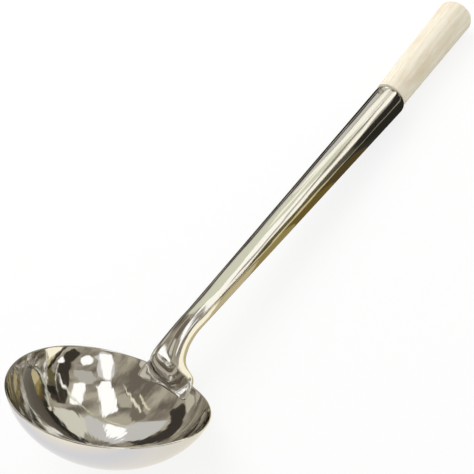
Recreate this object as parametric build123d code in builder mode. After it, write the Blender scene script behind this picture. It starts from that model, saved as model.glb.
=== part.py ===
from build123d import *
from math import asin, cos, degrees, radians, sin, sqrt
import os

# A wok ladle: a round pressed bowl, a tapered tube shank whose bent foot straddles the rim,
# and a turned wooden grip driven into the open end of the shank.
# Lengths are in millimetres and angles in degrees.
# The ladle lies at rest on a level surface, on the back of its bowl and the end of its grip.

# Bowl: the lower part of an ellipsoid, pressed from one disc of sheet.
bowl_diameter = 120.0        # outside, at the mean height of the rim
bowl_depth = 36.7            # outside, from the mean height of the rim to the bottom
bowl_flatness_share = 0.782  # height of the whole ellipsoid as a share of its width
bowl_sheet = 1.2
rim_saddle = 4.4             # how much lower the rim lies at neck and tip than at the sides
rim_rounding = 0.4

# Shank: a tube rolled from sheet, narrow at the neck and wide at the socket.
shank_sheet = 1.0
shank_angle = 38.1           # climb of the straight part above the plane of the rim
shank_length = 217.8         # straight part, from the bend to the mouth of the socket
neck_diameter = 13.8         # at the upper end of the bend
socket_diameter = 23.3       # at the mouth, before the edge is rolled in
mouth_roll_length = 3.5
mouth_roll_depth = 0.7
seam_width = 0.4

# Neck: the bend between the shank and the rim.
neck_angle = 79.0            # climb of the neck where it leaves the rim
neck_bend_radius = 46.0
neck_inset = 10.0            # centre of the bend's lower end, inside the rim's outer edge
neck_rise = 8.1              # the same point above the mean height of the rim

# Foot: the flattened end of the tube, on the rim and lapped down inside the bowl.
foot_width = 34.0
foot_side_offset = 2.4       # the foot is welded on a little to one side
tongue_drop = 10.4           # lower edge of the lap below the mean height of the rim
tongue_width = 37.0
tongue_sheet = 1.2
tongue_corner_radius = 3.5
weld_radius = 1.3            # bead along the back of the foot, on the outside of the rim

# Grip: a tapered wooden handle with a tenon inside the socket.
grip_length = 94.5           # visible part
grip_mouth_diameter = 22.1
grip_end_diameter = 25.8
grip_end_rounding = 6.0
grip_lift = 1.1              # centre of the grip above the centre of the socket's mouth
grip_side_shift = 0.4
grip_tilt = 2.6              # the grip climbs this much more steeply than the shank
grip_side_tilt = 0.9
tenon_length = 42.0
tenon_clearance = 0.05
tenon_chamfer = 2.0

# Nail: holds the tenon in the socket, through the wall of the tube.
nail_setback = 7.0           # centre of the nail from the mouth
nail_turn = -10.0            # round the tube, from its top line
nail_diameter = 1.8
nail_depth = 9.0
nail_head_diameter = 4.2
nail_head_height = 0.9

# Extra length for cuts that run past the metal.
overrun = 5.0

rim_radius = bowl_diameter / 2
saddle_dip = rim_saddle / 2
neck_radius = neck_diameter / 2
socket_radius = socket_diameter / 2
foot_half_width = foot_width / 2

# Half width, half height and centre height of the ellipsoid that the bowl is pressed to.
full_depth = bowl_depth / bowl_flatness_share
bowl_half_width = (rim_radius**2 + full_depth**2) / (2 * full_depth)
bowl_half_height = bowl_half_width * bowl_flatness_share
bowl_centre_height = bowl_half_height - bowl_depth

# Ends of the bend and the straight shank, along and above the plane of the rim.
bend_foot_x = rim_radius - neck_inset
bend_foot_z = neck_rise
bend_centre_x = bend_foot_x + neck_bend_radius * sin(radians(neck_angle))
bend_centre_z = bend_foot_z - neck_bend_radius * cos(radians(neck_angle))
bend_top_x = bend_centre_x - neck_bend_radius * sin(radians(shank_angle))
bend_top_z = bend_centre_z + neck_bend_radius * cos(radians(shank_angle))
mouth_x = bend_top_x + shank_length * cos(radians(shank_angle))
mouth_z = bend_top_z + shank_length * sin(radians(shank_angle))

# The grip's own axis, from the mouth of the socket to its end.
grip_angle = shank_angle + grip_tilt
grip_start = Vector(
    mouth_x - grip_lift * sin(radians(shank_angle)),
    grip_side_shift,
    mouth_z + grip_lift * cos(radians(shank_angle)),
)
grip_direction = Vector(
    cos(radians(grip_angle)) * cos(radians(grip_side_tilt)),
    sin(radians(grip_side_tilt)),
    sin(radians(grip_angle)) * cos(radians(grip_side_tilt)),
)
grip_end = grip_start + grip_direction * grip_length


def bowl_reach(angle):
    """How far the bowl reaches from the middle of its rim, along an angle in its side view."""
    level_reach = bowl_half_width * cos(radians(angle))
    upright_reach = bowl_half_height * sin(radians(angle))
    return bowl_centre_height * sin(radians(angle)) + sqrt(level_reach**2 + upright_reach**2)


def grip_reach(angle):
    """How far the rounded end of the grip reaches from the same point, along the same angle."""
    way = Vector(cos(radians(angle)), 0, sin(radians(angle)))
    ring_centre = grip_end - grip_direction * grip_end_rounding
    ring_radius = grip_end_diameter / 2 - grip_end_rounding
    along = way.dot(grip_direction)
    return ring_centre.dot(way) + ring_radius * sqrt(1 - along**2) + grip_end_rounding


# The rest tilt brings the bottom of the bowl and the end of the grip to one level.
down_angle_low = shank_angle - 90
down_angle_high = 0.0
for halving in range(50):
    down_angle = (down_angle_low + down_angle_high) / 2
    if grip_reach(down_angle) > bowl_reach(down_angle):
        down_angle_high = down_angle
    else:
        down_angle_low = down_angle
rest_tilt = down_angle + 90

# The plane of the rim, with x towards the shank: origin below the middle of the whole ladle.
rear_reach = bowl_reach(rest_tilt + 180)
front_reach = grip_reach(rest_tilt)
rim_plane = Plane(
    origin=((rear_reach - front_reach) / 2, 0, bowl_reach(down_angle)),
    x_dir=(cos(radians(rest_tilt)), 0, -sin(radians(rest_tilt))),
    z_dir=(sin(radians(rest_tilt)), 0, cos(radians(rest_tilt))),
)


def from_rim(plane):
    """The plane given from the middle of the rim, moved to where the bowl lies."""
    return Plane(rim_plane.location * plane.location)


def across_shank(x, z, climb, y=0):
    """A plane square to the shank at x, z: its x runs sideways and its y to the upper side."""
    return from_rim(Plane(
        origin=(x, y, z),
        x_dir=(0, 1, 0),
        z_dir=(cos(radians(climb)), 0, sin(radians(climb))),
    ))


bowl_axis = Axis(rim_plane.origin, rim_plane.z_dir)
mouth_plane = across_shank(mouth_x, mouth_z, shank_angle)
bend_top_plane = across_shank(bend_top_x, bend_top_z, shank_angle)
shank_axis = Axis(bend_top_plane.origin, bend_top_plane.z_dir)

# Side view of the shank: x along it from the bend, y to its upper side.
shank_side_plane = Plane(origin=bend_top_plane.origin, x_dir=bend_top_plane.z_dir, z_dir=(0, -1, 0))


def side_plane_at(turn):
    """A side view of the bowl at an angle round its axis: x outwards, y up along the axis."""
    return from_rim(Plane(
        origin=(0, 0, 0),
        x_dir=(cos(radians(turn)), sin(radians(turn)), 0),
        z_dir=(sin(radians(turn)), -cos(radians(turn)), 0),
    ))


def ellipsoid_cap(inset, turn):
    """The bowl's ellipsoid, drawn in by the inset, cut level above the rim and turned by degrees."""
    half_width = bowl_half_width - inset
    half_height = bowl_half_height - inset
    cap_height = rim_saddle
    rise = degrees(asin((cap_height - bowl_centre_height) / half_height))
    with BuildPart() as cap:
        with BuildSketch(side_plane_at(0)):
            with BuildLine():
                wall = EllipticalCenterArc(
                    (0, bowl_centre_height), half_width, half_height, start_angle=-90, arc_size=90 + rise
                )
                Polyline(wall @ 1, (0, cap_height), wall @ 0)
            make_face()
        revolve(axis=bowl_axis, revolution_arc=turn)
    return cap.part


bowl_inside = ellipsoid_cap(bowl_sheet, 360)

# Everything below the saddle line that the rim is trimmed to.
trim_reach = rim_radius + neck_radius + overrun
with BuildPart() as below_rim:
    with BuildSketch(side_plane_at(0)):
        with BuildLine():
            saddle_radius = (rim_radius**2 + rim_saddle**2) / (2 * rim_saddle)
            saddle_drop = saddle_radius - sqrt(saddle_radius**2 - trim_reach**2)
            saddle_line = ThreePointArc(
                (-trim_reach, saddle_dip - saddle_drop), (0, saddle_dip), (trim_reach, saddle_dip - saddle_drop)
            )
            floor_level = -bowl_depth - overrun
            Polyline(saddle_line @ 1, (trim_reach, floor_level), (-trim_reach, floor_level), saddle_line @ 0)
        make_face()
    extrude(amount=trim_reach, both=True)

# Bowl: one sheet thick, made as two mirrored halves, with both edges of the rim eased.
with BuildPart() as bowl:
    add(ellipsoid_cap(0, 180))
    add(ellipsoid_cap(bowl_sheet, 180), mode=Mode.SUBTRACT)
    add(below_rim.part, mode=Mode.INTERSECT)
    mirror(about=Plane.XZ)
    rim_face = bowl.faces().filter_by(GeomType.CYLINDER)[0]
    fillet(rim_face.edges().filter_by(lambda edge: edge.length > rim_radius), rim_rounding)
bowl.part.label = "bowl"

# The part of the neck below the rim's edge that has to stay out of the wall of the bowl.
with BuildPart() as wall_zone:
    add(below_rim.part)
    add(bowl_inside, mode=Mode.SUBTRACT)

# The neck's lower end: half width, upper depth and lower depth as shares of the neck's radius.
# The width is reached slowly at first and faster towards the foot, the depth at a steadier rate.
neck_foot_shares = (1.72, 1.15, 1.50)
neck_flare_powers = (2.6, 2.6, 1.2)
neck_station_count = 8

# Stations of the foot below the bend, down to where it dies into the tongue. Height above the
# mean rim as a share of the tongue's drop, half width as a share of the foot's, then front,
# side edges and back as shares of the wall's distance from the bowl's axis at that height.
foot_station_shares = (
    (0.40, 0.84, 0.710, 0.861, 0.978),
    (0.00, 0.98, 0.753, 0.917, 0.990),
    (-0.34, 1.00, 0.813, 0.932, 0.990),
    (-0.67, 0.95, 0.885, 0.931, 0.990),
    (-0.90, 0.85, 0.941, 0.952, 0.990),
)

# The mouth's edge curls in: place along the roll, and how far in by then.
mouth_roll_shares = ((0.5, 0.2), (1.0, 1.0))


def tube_radius(place):
    """The straight tube's outer radius at a distance from the top of the bend."""
    return neck_radius + (socket_radius - neck_radius) * place / shank_length


def tube_section(plane, half_width, upper, lower):
    """A cross section of the pressed tube: two half ellipses of one width."""
    with BuildSketch(plane) as section:
        with BuildLine():
            EllipticalCenterArc((0, 0), half_width, upper, start_angle=0, arc_size=180)
            EllipticalCenterArc((0, 0), half_width, lower, start_angle=180, arc_size=180)
        make_face()
    return section.sketch


def straight_section(place, inset):
    """A round cross section of the straight tube, at a distance from the top of the bend."""
    radius = tube_radius(place) - inset
    return tube_section(bend_top_plane.offset(place), radius, radius, radius)


def neck_sections(inset):
    """The bent neck's cross sections, drawn in by the inset, from the straight tube down."""
    sections = [straight_section(0, inset)]
    for step in range(1, neck_station_count + 1):
        place = step / neck_station_count
        climb = shank_angle + (neck_angle - shank_angle) * place
        x = bend_centre_x - neck_bend_radius * sin(radians(climb))
        z = bend_centre_z + neck_bend_radius * cos(radians(climb))
        half_width, upper, lower = (
            neck_radius * (1 + (foot_share - 1) * place**power) - inset
            for foot_share, power in zip(neck_foot_shares, neck_flare_powers)
        )
        station = across_shank(x, z, climb, foot_side_offset * place)
        sections.append(tube_section(station, half_width, upper, lower))
    return sections


def wall_radius(height):
    """Distance of the bowl's outer wall from its axis at a height."""
    height_share = (height - bowl_centre_height) / bowl_half_height
    return bowl_half_width * sqrt(1 - height_share**2)


def foot_sections():
    """The foot's level cross sections, inside the wall of the bowl."""
    sections = []
    for height_share, width_share, front_share, edge_share, back_share in foot_station_shares:
        height = tongue_drop * height_share
        reach = wall_radius(height)
        station = across_shank(reach * edge_share, height, 90, foot_side_offset)
        front = reach * (edge_share - front_share)
        back = reach * (back_share - edge_share)
        sections.append(tube_section(station, foot_half_width * width_share, front, back))
    return sections


def straight_tube(inset):
    """The straight tube with its rolled mouth, drawn in by the inset."""
    roll_start = shank_length - mouth_roll_length
    roll_sections = [straight_section(roll_start, inset)]
    for length_share, depth_share in mouth_roll_shares:
        roll_sections.append(
            straight_section(roll_start + mouth_roll_length * length_share, inset + mouth_roll_depth * depth_share)
        )
    with BuildPart() as tube:
        loft(sections=[straight_section(0, inset), roll_sections[0]], ruled=True)
        loft(sections=roll_sections)
    return tube.part


# The nail's own plane: from the axis of the tube outwards, near the top of the mouth.
nail_place = shank_length - nail_setback
nail_direction = mouth_plane.y_dir * cos(radians(nail_turn)) + mouth_plane.x_dir * sin(radians(nail_turn))
nail_plane = Plane(origin=mouth_plane.origin - mouth_plane.z_dir * nail_setback, z_dir=nail_direction)
nail_seat_radius = tube_radius(nail_place + nail_head_diameter / 2)

with BuildPart() as nail_hole:
    with BuildSketch(nail_plane):
        Circle(nail_diameter / 2)
    extrude(amount=nail_seat_radius + overrun)

# The tongue: a curved plate that follows the inside of the wall below the rim.
tongue_height = tongue_drop - saddle_dip
with BuildPart() as tongue:
    with BuildSketch(from_rim(Plane(origin=(0, 0, 0), x_dir=(0, 1, 0), z_dir=(1, 0, 0)))):
        with Locations((foot_side_offset, -saddle_dip - tongue_height / 2)):
            RectangleRounded(tongue_width, tongue_height, tongue_corner_radius)
    extrude(amount=rim_radius)
    add(ellipsoid_cap(bowl_sheet + tongue_sheet, 360), mode=Mode.SUBTRACT)

# Shank: a rolled tube with an open butt seam along its underside, bent at the neck and pressed
# out to a foot that stands on the rim and laps down inside the bowl.
with BuildPart() as shank:
    loft(sections=neck_sections(0) + foot_sections(), ruled=True)
    add(tongue.part)
    add(wall_zone.part, mode=Mode.SUBTRACT)
    add(straight_tube(0))
    loft(sections=neck_sections(shank_sheet), ruled=True, mode=Mode.SUBTRACT)
    add(straight_tube(shank_sheet), mode=Mode.SUBTRACT)
    with BuildSketch(shank_side_plane):
        with Locations((shank_length / 2, -socket_radius / 2 - overrun / 2)):
            Rectangle(shank_length, socket_radius + overrun)
    extrude(amount=seam_width / 2, both=True, mode=Mode.SUBTRACT)
    add(nail_hole.part, mode=Mode.SUBTRACT)
shank.part.label = "shank"

# Foot weld: a bead along the outer edge of the rim behind the foot.
weld_half_turn = degrees(asin(foot_half_width / rim_radius))
weld_middle_turn = degrees(asin(foot_side_offset / rim_radius))
with BuildPart() as foot_weld:
    with BuildSketch(side_plane_at(weld_middle_turn - weld_half_turn)):
        with Locations((wall_radius(-saddle_dip), -saddle_dip)):
            Circle(weld_radius)
    revolve(axis=bowl_axis, revolution_arc=2 * weld_half_turn)
    add(ellipsoid_cap(0, 360), mode=Mode.SUBTRACT)
    add(shank.part, mode=Mode.SUBTRACT)
foot_weld.part.label = "foot_weld"

# Grip: a tapered turned handle with a rounded end, whose shoulder sits on the mouth.
grip_plane = from_rim(Plane(
    origin=grip_start,
    x_dir=grip_direction,
    z_dir=Vector(0, 0, 1).cross(grip_direction),
))
grip_widening = (grip_end_diameter - grip_mouth_diameter) / 2 / grip_length
with BuildPart() as tenon:
    add(straight_tube(shank_sheet + tenon_clearance))
    split(bisect_by=mouth_plane.offset(-tenon_length), keep=Keep.TOP)
    chamfer(tenon.faces().sort_by(shank_axis)[0].edges(), tenon_chamfer)
    add(nail_hole.part, mode=Mode.SUBTRACT)

with BuildPart() as grip:
    with BuildSketch(grip_plane):
        with BuildLine():
            Polyline(
                (-overrun, 0),
                (-overrun, grip_mouth_diameter / 2 - grip_widening * overrun),
                (grip_length, grip_end_diameter / 2),
                (grip_length, 0),
                close=True,
            )
        make_face()
    revolve(axis=Axis(grip_plane.origin, grip_plane.x_dir))
    fillet(grip.faces().sort_by(shank_axis)[-1].edges(), grip_end_rounding)
    split(bisect_by=mouth_plane, keep=Keep.TOP)
    add(tenon.part)
grip.part.label = "grip"

# Nail: a round head on the tube and a plain shank down into the tenon.
with BuildPart() as grip_nail:
    with BuildSketch(nail_plane.offset(nail_seat_radius - nail_depth)):
        Circle(nail_diameter / 2)
    extrude(amount=nail_depth)
    with BuildSketch(nail_plane.offset(nail_seat_radius)):
        Circle(nail_head_diameter / 2)
    extrude(amount=nail_head_height)
    fillet(grip_nail.faces().sort_by(Axis(nail_plane.origin, nail_plane.z_dir))[-1].edges(), nail_head_height / 2)
grip_nail.part.label = "grip_nail"

os.makedirs("parts", exist_ok=True)
export_step(bowl.part, "parts/bowl.step")
export_step(shank.part, "parts/shank.step")
export_step(foot_weld.part, "parts/foot_weld.step")
export_step(grip.part, "parts/grip.step")
export_step(grip_nail.part, "parts/grip_nail.step")
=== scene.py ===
from math import asin, cos, hypot, pi, radians, sin

import bmesh
import bpy
import numpy as np
from mathutils import Matrix, Vector


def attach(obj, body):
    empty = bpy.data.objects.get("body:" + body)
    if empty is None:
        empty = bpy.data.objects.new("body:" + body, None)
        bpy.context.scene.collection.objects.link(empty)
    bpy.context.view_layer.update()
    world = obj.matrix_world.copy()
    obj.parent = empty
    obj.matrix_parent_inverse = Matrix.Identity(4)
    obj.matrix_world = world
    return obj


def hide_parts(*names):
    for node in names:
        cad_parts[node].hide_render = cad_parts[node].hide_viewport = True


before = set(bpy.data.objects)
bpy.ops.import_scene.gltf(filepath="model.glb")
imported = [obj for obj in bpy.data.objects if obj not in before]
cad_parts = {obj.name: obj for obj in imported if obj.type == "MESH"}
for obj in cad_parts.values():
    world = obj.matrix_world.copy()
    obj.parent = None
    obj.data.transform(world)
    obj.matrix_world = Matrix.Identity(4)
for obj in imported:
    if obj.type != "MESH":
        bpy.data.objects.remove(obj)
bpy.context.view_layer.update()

# Camera: it stands to the left of the ladle and above it, and is turned so that the shank rises to
# the right. The ladle lies on the back of its bowl and the end of its grip.
mm = 0.001
camera_place = Vector((-300.37, -370.06, 560.78)) * mm
camera_right = Vector((0.59186, -0.76449, -0.25544))
camera_up = Vector((0.71256, 0.34813, 0.60916))
camera_lens = 84.05

camera = bpy.data.objects.new("camera", bpy.data.cameras.new("camera"))
camera.data.lens = camera_lens
camera_axes = Matrix((camera_right, camera_up, camera_right.cross(camera_up))).transposed()
camera.matrix_world = Matrix.Translation(camera_place) @ camera_axes.to_4x4()
bpy.context.scene.collection.objects.link(camera)
bpy.context.scene.camera = camera
bpy.context.scene.view_settings.view_transform = "Standard"

# Studio: a floor of matt white paper, which fades into a white background and keeps a soft shadow of
# the ladle. The background is white to the eye and a little softer as a light.
floor_reach = 4000 * mm
floor_paper = "#F4F5F2"
floor_shadow_share = 0.18
floor_fade = (300 * mm, 1100 * mm)
background_white = 1.0
soft_light_level = 0.74


def linear(code):
    """An sRGB hex colour as the linear red, green, blue and alpha that a shader takes."""
    parts = [int(code[start:start + 2], 16) / 255 for start in (1, 3, 5)]
    return [part / 12.92 if part <= 0.04045 else ((part + 0.055) / 1.055) ** 2.4 for part in parts] + [1]


def put(tree, kind, inputs=None, **settings):
    """Adds a node. Each input is given a value, a socket to link, or a node, for its first output."""
    node = tree.nodes.new(kind)
    for name, value in settings.items():
        setattr(node, name, value)
    for name, value in (inputs or {}).items():
        if isinstance(value, bpy.types.Node):
            value = value.outputs[0]
        if isinstance(value, bpy.types.NodeSocket):
            tree.links.new(value, node.inputs[name])
        else:
            node.inputs[name].default_value = value
    return node


def new_material(name):
    """An empty node material and its tree."""
    material = bpy.data.materials.new(name)
    material.use_nodes = True
    material.node_tree.nodes.clear()
    return material, material.node_tree


def new_piece(name, mesh, material, smooth=True):
    """An object in the scene for a finished mesh, which holds its own place."""
    piece = bpy.data.objects.new(name, mesh)
    bpy.context.scene.collection.objects.link(piece)
    mesh.materials.clear()
    mesh.materials.append(material)
    mesh.polygons.foreach_set("use_smooth", [smooth] * len(mesh.polygons))
    return piece


def disc(name, radius):
    """A flat round sheet at floor height."""
    mesh = bpy.data.meshes.new(name)
    builder = bmesh.new()
    bmesh.ops.create_circle(builder, cap_ends=True, radius=radius, segments=64)
    builder.to_mesh(mesh)
    builder.free()
    return mesh


def seen_share(tree):
    """1 for what the camera, a mirror or glass shows, and 0 for what lights the ladle."""
    path = put(tree, "ShaderNodeLightPath").outputs
    seen = put(tree, "ShaderNodeMath", {0: path["Is Camera Ray"], 1: path["Is Glossy Ray"]},
               operation="ADD", use_clamp=True)
    return put(tree, "ShaderNodeMath", {0: seen, 1: path["Is Transmission Ray"]},
               operation="ADD", use_clamp=True)


floor_material, tree = new_material("matt_white_paper")
away = put(tree, "ShaderNodeVectorMath", {0: put(tree, "ShaderNodeTexCoord").outputs["Object"]},
           operation="LENGTH")
fade = put(tree, "ShaderNodeMapRange", {
    "Value": away.outputs["Value"], "From Min": floor_fade[0], "From Max": floor_fade[1],
    "To Min": 1 - floor_shadow_share, "To Max": 1,
})
share = put(tree, "ShaderNodeMath", {0: seen_share(tree), 1: fade}, operation="MULTIPLY")
paper = put(tree, "ShaderNodeBsdfDiffuse", {"Color": linear(floor_paper)})
white = put(tree, "ShaderNodeEmission", {"Strength": background_white})
mixed = put(tree, "ShaderNodeMixShader", {0: share, 1: paper, 2: white})
put(tree, "ShaderNodeOutputMaterial", {"Surface": mixed})
floor = new_piece("floor", disc("floor", floor_reach), floor_material, smooth=False)

world = bpy.data.worlds.new("studio")
bpy.context.scene.world = world
world.use_nodes = True
tree = world.node_tree
tree.nodes.clear()
soft = put(tree, "ShaderNodeBackground", {"Color": (1, 1, 1, 1), "Strength": soft_light_level})
white = put(tree, "ShaderNodeBackground", {"Color": (1, 1, 1, 1), "Strength": background_white})
mixed = put(tree, "ShaderNodeMixShader", {0: seen_share(tree), 1: soft, 2: white})
put(tree, "ShaderNodeOutputWorld", {"Surface": mixed})

# Window light: one large soft lamp behind and to the left, which shades the wood and lays a faint
# shadow on the floor. Steel doesn't show it, because the room below has windows of its own.
lamp_distance = 1200 * mm
lamp_size = 900 * mm
lamp_turn = radians(60)
lamp_climb = radians(48)
lamp_power = 7.5

lamp_way = Vector((cos(lamp_turn) * cos(lamp_climb), sin(lamp_turn) * cos(lamp_climb), sin(lamp_climb)))
lamp_aim = lamp_way.to_track_quat("Z", "Y").to_matrix().to_4x4()
lamp = bpy.data.objects.new("window_lamp", bpy.data.lights.new("window_lamp", "AREA"))
lamp.data.size = lamp_size
lamp.data.energy = lamp_power
lamp.matrix_world = Matrix.Translation(lamp_way * lamp_distance) @ lamp_aim
lamp.visible_glossy = False
bpy.context.scene.collection.objects.link(lamp)

# Reflected room: mirror-polished steel looks like the room it stands in, so a dim room with windows
# stands around the ladle, made of a dome, cards on it, sheets over the shank and floor colours. Only
# reflections see it, and it lights nothing. The cards and sheets are cut and placed one by one.
room_middle = Vector((-168, 0, 30)) * mm
room_radius = 2500 * mm
glare = 1.32

# Each card's outline is in degrees east (+X) and north (+Y) of straight up, seen from the bowl. A
# later card hangs nearer, and covers the ones before it.
card_step = 40 * mm
card_halvings = 3
room_cards = (
    ("pale_wall", "#BCBBB8", (
        (23, 58), (37, 58), (53, 56), (67, 50), (75, 36), (77, 20), (72, 8), (64, 6), (60, 18), (52, 31),
        (40, 35), (33, 42))),
    ("dark_wall_north", "#38332E", (
        (0, 63), (10, 71), (25, 77), (40, 77), (56, 64), (62, 50), (50, 57), (33, 61), (23, 59), (15, 52),
        (0, 60))),
    ("dark_wall_south", "#37322B", (
        (82, -15), (84, -24), (76, -40), (66, -54), (54, -66), (40, -78), (25, -84), (8, -84), (8, -72),
        (30, -66), (43, -54), (50, -44), (59, -35), (67, -23), (75, -14))),
    ("cream_wall", "#C9C7BA", (
        (73, 19), (78, 28), (84, 38), (88, 30), (88, 14), (90, 0), (88, -9), (80, -7), (72, -3), (70, 10))),
    ("pale_corner", "#B4AF9F", (
        (-13, 72), (-6, 77), (10, 74), (8, 71), (0, 64), (-6, 61), (-16, 58))),
    ("haze", "#C6C4C3", (
        (-19, -46), (-15, -56), (0, -56), (2, -50), (14, -42), (22, -33), (20, -20), (10, -23), (0, -29),
        (-6, -35), (-17, -44))),
    ("lamp_streak", "#FFFFFF", (
        (-18, -44), (-14, -50), (-9, -55), (-1, -50), (10, -40), (18, -28), (18, -22), (9, -26), (0, -31),
        (-9, -35))),
    ("lamp_long", "#FFFFFF", (
        (19, -20), (25, -11), (33, 2), (42, 12), (56, 13), (52, 4), (46, -6), (40, -15), (35, -23),
        (25, -26))),
    ("lamp_second", "#FFFFFF", (
        (63, -9), (70, -13), (65, -22), (57, -30), (49, -37), (39, -34), (44, -26), (51, -21), (57, -14))),
    ("haze_over_window", "#ADAAA3", (
        (22, -42), (28, -50), (37, -54), (42, -47), (43, -38), (40, -30), (34, -28), (27, -31))),
    ("wall_behind", "#BDB8AC", (
        (-17, -4), (-17, 14), (-24, 18), (-36, 16), (-38, 4), (-35, -10), (-24, -10))),
    ("grey_wall", "#6E685C", (
        (13, 8), (19, 7), (26, 15), (31, 18), (38, 22), (44, 30), (36, 36), (30, 34), (24, 24), (16, 20))),
    ("soft_wall", "#A6A193", ((21, 0), (30, 0), (37, 10), (32, 16), (25, 13))),
    ("lamp_small", "#FFFFFF", ((4, -55), (13, -51), (21, -54), (21, -60), (15, -64), (7, -64), (3, -62))),
    ("lamp_far", "#FFFFFF", ((43, -70), (46, -74), (40, -78), (33, -80), (35, -76), (38, -71))),
    ("lamp_low", "#FFFFFF", (
        (55, 40), (61, 43), (68, 40), (66, 34), (61, 22), (58, 21), (53, 30), (52, 35))),
    ("lamp_behind", "#FFFFFF", (
        (-22, 42), (-26, 52), (-48, 60), (-60, 44), (-58, 10), (-58, -10), (-46, -8), (-45, 8), (-37, 29))),
    ("beam", "#E4DCC8", (
        (8, -12), (14, -6), (20, 2), (25, 12), (28, 22), (31, 28), (29, 28), (24, 18), (21, 8), (17, 0),
        (12, -8))),
    ("beam_thin", "#D8CFB4", ((24, 30), (20, 20), (13, 12), (12, 13), (18, 21), (22, 31))),
)

# Sheets over the shank, by place along and across the ladle in mm. They lie in planes through the part
# of the bowl that faces them, which sees them edge on and so keeps its own room. A plane is its height
# at the middle of the ladle, and its climb along and across.
near_plane = (108, 0.577, 0.2)
low_plane = (65.7, 0.2126, 0)
sheet_gap = 0.5
shank_sheets = (
    ("sheet_north", "#C9CAB6", near_plane, (
        (-84, 2), (-84, 40), (-66, 62), (-20, 110), (60, 230), (140, 240), (150, 110), (168, 28), (232, -8),
        (232, -42), (200, -60), (157, -74), (120, -50), (91, -27), (35, -17), (-13, -27), (-54, -25),
        (-76, -6))),
    ("sheet_stripe", "#F3F1DE", near_plane, (
        (40, 20), (48, 40), (98, 60), (120, 66), (165, 60), (168, 30), (102, 16))),
    ("sheet_far", "#F4F2E4", near_plane, (
        (168, 30), (150, 112), (160, 240), (420, 240), (420, 30), (300, 12), (236, -4))),
    ("sheet_mouth", "#D1CDC0", near_plane, (
        (240, -4), (300, 10), (420, 28), (420, -100), (300, -88), (270, -50))),
    ("sheet_middle", "#F8F7EE", near_plane, (
        (-76, -8), (-54, -27), (-13, -29), (35, -19), (91, -29), (118, -52), (96, -74), (45, -90),
        (-4, -68), (-50, -75), (-74, -50))),
    ("sheet_south", "#F7F3E6", low_plane, (
        (-66, -22), (-50, -48), (-12, -72), (22, -70), (52, -48), (97, -58), (138, -45), (176, -33),
        (215, -30), (222, -46), (186, -64), (157, -93), (128, -118), (93, -129), (52, -140), (50, -240),
        (10, -300), (-75, -300))),
)

# Dark walls beside the shank, by place along, across and up in mm.
wall_cards = (
    ("dark_by_mouth", "#26241F", (
        (135, -125, 0), (290, -125, 0), (290, -125, 150), (180, -125, 100), (135, -125, 70))),
    ("brown_by_shank", "#5E563A", (
        (-12, -126, 26), (10, -126, 50), (45, -126, 72), (92, -126, 92), (92, -126, 18), (70, -126, 22),
        (0, -126, 24))),
    ("grey_by_shank", "#514D3F", ((92, -126, 18), (92, -126, 92), (140, -126, 100), (140, -126, 12))),
)

# Colours of the floor near the shank, by place along and across in mm, one just above the other.
patch_height = 0.4
patch_gap = 0.1
floor_patches = (
    ("bright_floor_by_neck", "#F6F0DA", (
        (-126, -28), (-126, -300), (-40, -300), (-36, -125), (-62, -60), (-80, -28))),
    ("tan_floor_by_neck", "#B5A985", (
        (-126, -2), (-126, -28), (-80, -28), (-62, -60), (-40, -100), (-22, -40), (-50, -2))),
    ("far_floor_gold", "#C0B48A", (
        (-32, -100), (-10, -76), (45, -88), (90, -95), (120, -90), (110, -240), (0, -260), (-30, -260))),
    ("far_floor_grey", "#8E8A7C", ((110, -90), (175, -70), (230, -60), (260, -220), (110, -240))),
    ("olive_floor_pale", "#8A7C4E", ((-48, -3), (-22, -42), (-14, -74), (12, -80), (4, -3))),
    ("olive_floor", "#63542A", ((4, -3), (12, -80), (45, -87), (52, -86), (46, -3))),
    ("olive_floor_dark", "#4B4026", ((46, -3), (52, -86), (80, -92), (84, -3))),
)

# The rest of the floor as the steel shows it, by distance along the ladle in mm: pale under the bowl,
# greyer and bluer close round it as painted shade, and the browns of a table top beyond it.
floor_tones = (
    (-420, "#F1EBD8"), (-330, "#DCD8D2"), (-260, "#CDCED5"), (-205, "#D6D3CF"), (-145, "#D3CFC0"),
    (-110, "#68635A"), (-67, "#57524B"), (7, "#504A42"), (59, "#443F39"), (100, "#25251F"),
)
floor_tone_reach = 600
table_radius = 2250 * mm
table_height = 0.2 * mm


def blend(tones, stops):
    """Gives a colour ramp its stops, each a place from 0 to 1 and a colour."""
    elements = tones.color_ramp.elements
    for number, (spot, code) in enumerate(stops):
        stop = elements[number] if number < len(elements) else elements.new(spot)
        stop.position = spot
        stop.color = linear(code)


def shine(tree, colour):
    """Ends a material's tree in a glow of one colour, or of the colours that a node gives."""
    light = put(tree, "ShaderNodeEmission", {"Color": colour, "Strength": glare})
    put(tree, "ShaderNodeOutputMaterial", {"Surface": light})


def one_colour(name, code):
    """A surface that shows one colour in the steel."""
    material, tree = new_material(name)
    shine(tree, linear(code))
    return material


def add_reflector(name, mesh, material):
    """A part of the reflected room, which also shades nothing."""
    reflector = new_piece(name, mesh, material, smooth=False)
    for ray in ("camera", "diffuse", "transmission", "volume_scatter", "shadow"):
        setattr(reflector, "visible_" + ray, False)


def hang_card(name, code, outline, radius):
    """A card on the dome, cut to its outline on a flat sheet and then curved round the ladle."""
    mesh = bpy.data.meshes.new(name)
    mesh.from_pydata([(east, north, 0) for east, north in outline], [], [range(len(outline))])
    builder = bmesh.new()
    builder.from_mesh(mesh)
    bmesh.ops.triangulate(builder, faces=builder.faces)
    for halving in range(card_halvings):
        bmesh.ops.subdivide_edges(builder, edges=builder.edges, cuts=1, use_grid_fill=True)
    for corner in builder.verts:
        east, north = corner.co.x, corner.co.y
        away = hypot(east, north)
        flat = Vector((east, north, 0)) / max(away, 0.001) * sin(radians(away))
        corner.co = room_middle + (flat + Vector((0, 0, cos(radians(away))))) * radius
    builder.to_mesh(mesh)
    builder.free()
    add_reflector(name, mesh, one_colour(name, code))


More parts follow.
